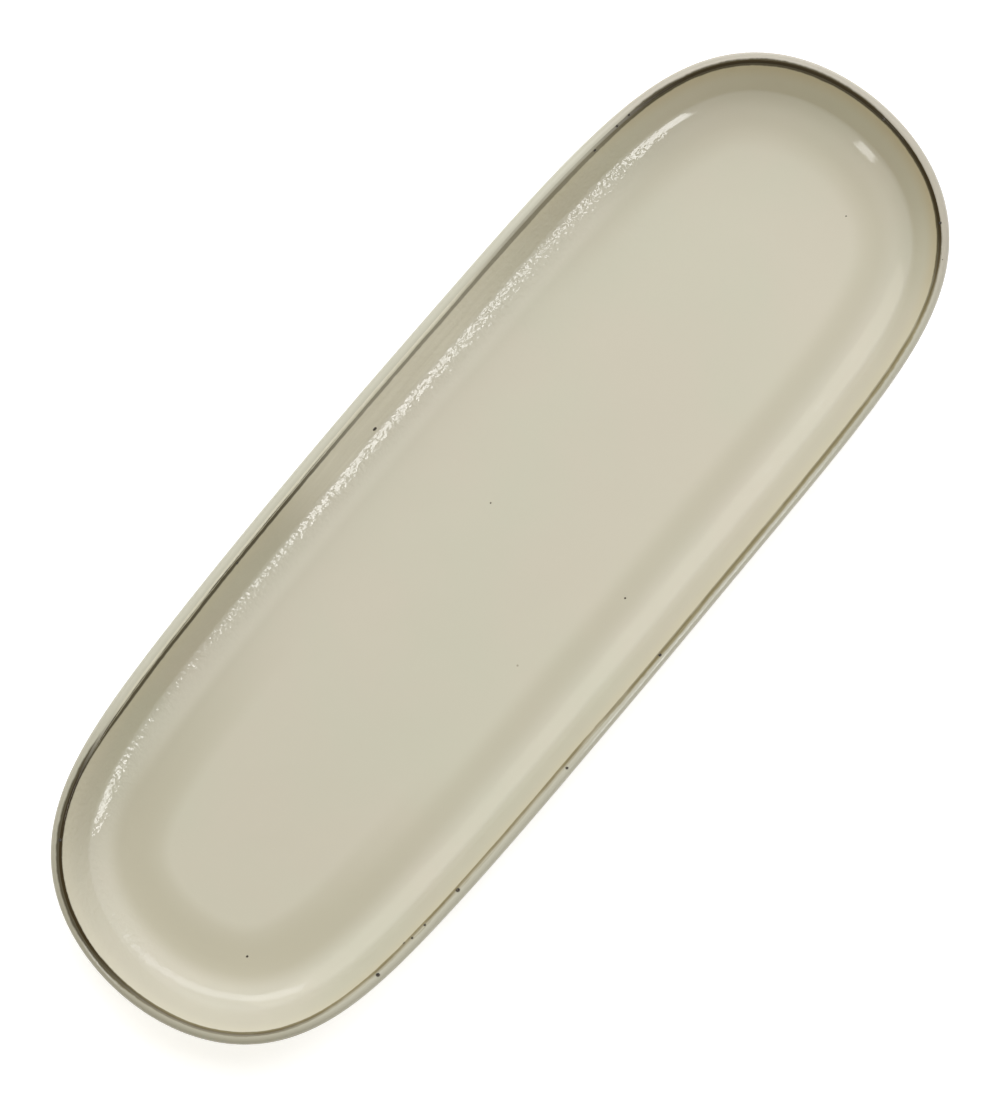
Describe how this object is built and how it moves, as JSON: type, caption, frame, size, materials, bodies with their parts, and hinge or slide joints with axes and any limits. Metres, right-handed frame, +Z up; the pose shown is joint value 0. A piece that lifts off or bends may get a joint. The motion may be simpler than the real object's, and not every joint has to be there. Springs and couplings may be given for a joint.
{
  "type": "serving dish",
  "caption": "Long oval stoneware serving dish with a flat floor, a wide cove, leaning walls, a dark line round the lip and a bare foot ring.",
  "frame": {"origin": "middle of the plane that the foot ring stands on", "axes": "+X along the dish's length, +Y across it, +Z up out of the well"},
  "size_m": [0.36, 0.125, 0.022],
  "materials": {
    "clay": "unglazed, fine and matt",
    "inner_glaze": "glossy cream glaze, mottled, with iron specks",
    "rim_line": "glossy dark brown iron-oxide line",
    "outer_glaze": "glossy cream glaze",
    "recess_glaze": "glossy cream glaze"
  },
  "bodies": {
    "root": {"stoneware_body": "clay", "inner_glaze": "inner_glaze", "rim_line": "rim_line", "outer_glaze": "outer_glaze", "recess_glaze": "recess_glaze"}
  },
  "joints": []
}
